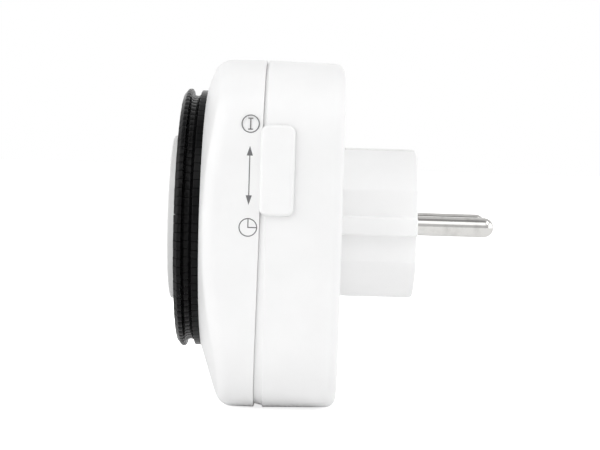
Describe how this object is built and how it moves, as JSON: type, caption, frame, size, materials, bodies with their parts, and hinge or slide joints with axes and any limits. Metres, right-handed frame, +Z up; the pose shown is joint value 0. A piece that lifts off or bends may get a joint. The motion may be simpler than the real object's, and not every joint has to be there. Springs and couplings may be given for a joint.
{
  "type": "plug in timer switch",
  "caption": "Plug in mechanical timer: rounded white housing, black segment dial around a safety socket, side slide switch, round plug with pins.",
  "frame": {"origin": "centre of the plug's flat front face, midway between the two pins", "axes": "+Y out of the plug's face along the pins, +Z up, +X towards the slide switch; the dial and the socket face -Y"},
  "size_m": [0.0745, 0.0788, 0.0824],
  "materials": {
    "white_plastic": "fine satin moulded plastic",
    "black_plastic": "semi-gloss moulded plastic",
    "natural_plastic": "natural acetal",
    "pin_metal": "bright nickel plated",
    "steel": "zinc plated steel",
    "brass": "rolled brass",
    "contact_silver": "silver contact",
    "copper": "enamelled copper wire"
  },
  "bodies": {
    "housing": {"front_cover": "white_plastic", "rear_housing": "white_plastic", "plug_body": "white_plastic", "socket_insert": "white_plastic", "line_pin": "pin_metal", "neutral_pin": "pin_metal", "earth_contact_top": "steel", "earth_contact_bottom": "steel", "line_sleeve": "brass", "neutral_sleeve": "brass", "line_in_busbar": "brass", "line_out_busbar": "brass", "neutral_busbar": "brass", "shutter_spring": "steel", "drive_arbor": "steel", "gear_plate": "steel", "motor_gearbox": "natural_plastic", "motor_case": "steel", "motor_coil": "copper", "lever_pin": "steel", "fixed_contact": "contact_silver", "switch_detent": "steel", "housing_screws": "steel", "insert_screws": "steel", "plate_screws": "steel"},
    "dial": {"dial_core": "black_plastic", "dial_gear": "natural_plastic"},
    "bank_01": {"segment_bank_01": "black_plastic"},
    "bank_02": {"segment_bank_02": "black_plastic"},
    "bank_03": {"segment_bank_03": "black_plastic"},
    "bank_04": {"segment_bank_04": "black_plastic"},
    "bank_05": {"segment_bank_05": "black_plastic"},
    "bank_06": {"segment_bank_06": "black_plastic"},
    "bank_07": {"segment_bank_07": "black_plastic"},
    "bank_08": {"segment_bank_08": "black_plastic"},
    "bank_09": {"segment_bank_09": "black_plastic"},
    "bank_10": {"segment_bank_10": "black_plastic"},
    "bank_11": {"segment_bank_11": "black_plastic"},
    "bank_12": {"segment_bank_12": "black_plastic"},
    "drive": {"drive_pinion": "natural_plastic", "clutch_washer": "steel"},
    "wheel": {"clutch_wheel": "natural_plastic"},
    "motor_output": {"motor_pinion": "brass"},
    "rotor": {"motor_rotor": "black_plastic"},
    "shutter": {"shutter": "white_plastic"},
    "lever": {"feeler_lever": "natural_plastic"},
    "leaf": {"contact_leaf": "brass", "moving_contact": "contact_silver"},
    "slider": {"switch_cap": "white_plastic", "switch_bar": "natural_plastic"}
  },
  "joints": [
    {"name": "dial_turn", "type": "hinge", "parent": "housing", "child": "dial", "pos_m": [0, -0.0545, 0], "axis": [0, 1, 0], "continuous": true},
    {"name": "bank_01_slide", "type": "slide", "parent": "dial", "child": "bank_01", "axis": [0, 1, 0], "range_m": [0, 0.0019]},
    {"name": "bank_02_slide", "type": "slide", "parent": "dial", "child": "bank_02", "axis": [0, 1, 0], "range_m": [0, 0.0019]},
    {"name": "bank_03_slide", "type": "slide", "parent": "dial", "child": "bank_03", "axis": [0, 1, 0], "range_m": [0, 0.0019]},
    {"name": "bank_04_slide", "type": "slide", "parent": "dial", "child": "bank_04", "axis": [0, 1, 0], "range_m": [0, 0.0019]},
    {"name": "bank_05_slide", "type": "slide", "parent": "dial", "child": "bank_05", "axis": [0, 1, 0], "range_m": [0, 0.0019]},
    {"name": "bank_06_slide", "type": "slide", "parent": "dial", "child": "bank_06", "axis": [0, 1, 0], "range_m": [0, 0.0019]},
    {"name": "bank_07_slide", "type": "slide", "parent": "dial", "child": "bank_07", "axis": [0, 1, 0], "range_m": [0, 0.0019]},
    {"name": "bank_08_slide", "type": "slide", "parent": "dial", "child": "bank_08", "axis": [0, 1, 0], "range_m": [0, 0.0019]},
    {"name": "bank_09_slide", "type": "slide", "parent": "dial", "child": "bank_09", "axis": [0, 1, 0], "range_m": [0, 0.0019]},
    {"name": "bank_10_slide", "type": "slide", "parent": "dial", "child": "bank_10", "axis": [0, 1, 0], "range_m": [0, 0.0019]},
    {"name": "bank_11_slide", "type": "slide", "parent": "dial", "child": "bank_11", "axis": [0, 1, 0], "range_m": [0, 0.0019]},
    {"name": "bank_12_slide", "type": "slide", "parent": "dial", "child": "bank_12", "axis": [0, 1, 0], "range_m": [0, 0.0019]},
    {"name": "drive_turn", "type": "hinge", "parent": "housing", "child": "drive", "pos_m": [0.00929, -0.044, -0.02699], "axis": [0, 1, 0], "continuous": true},
    {"name": "wheel_turn", "type": "hinge", "parent": "housing", "child": "wheel", "pos_m": [0.00929, -0.03885, -0.02699], "axis": [0, 1, 0], "continuous": true},
    {"name": "motor_output_turn", "type": "hinge", "parent": "housing", "child": "motor_output", "pos_m": [-0.00244, -0.03885, -0.0295], "axis": [0, 1, 0], "continuous": true},
    {"name": "rotor_turn", "type": "hinge", "parent": "housing", "child": "rotor", "pos_m": [-0.00244, -0.027, -0.0295], "axis": [0, 1, 0], "continuous": true},
    {"name": "shutter_turn", "type": "hinge", "parent": "housing", "child": "shutter", "pos_m": [0, -0.0395, 0], "axis": [0, -1, 0], "range_deg": [0, 40], "stiffness_Nm_per_rad": 0.0004, "springref_deg": -20.05},
    {"name": "lever_turn", "type": "hinge", "parent": "housing", "child": "lever", "pos_m": [0.02799, -0.0428, -0.00621], "axis": [-1, 0, 0], "range_deg": [0, 2.05], "stiffness_Nm_per_rad": 0.02, "springref_deg": -2.86},
    {"name": "leaf_flex", "type": "hinge", "parent": "housing", "child": "leaf", "pos_m": [0.02799, -0.0372, -0.01171], "axis": [-1, 0, 0], "range_deg": [0, 1.35]},
    {"name": "switch_slide", "type": "slide", "parent": "housing", "child": "slider", "axis": [0, 0, -1], "range_m": [0, 0.0026]}
  ],
  "couplings": [
    {"joint": "drive_turn", "follows": "dial_turn", "ratio": -6},
    {"joint": "motor_output_turn", "follows": "wheel_turn", "ratio": -3},
    {"joint": "leaf_flex", "follows": "lever_turn", "ratio": 0.66}
  ]
}
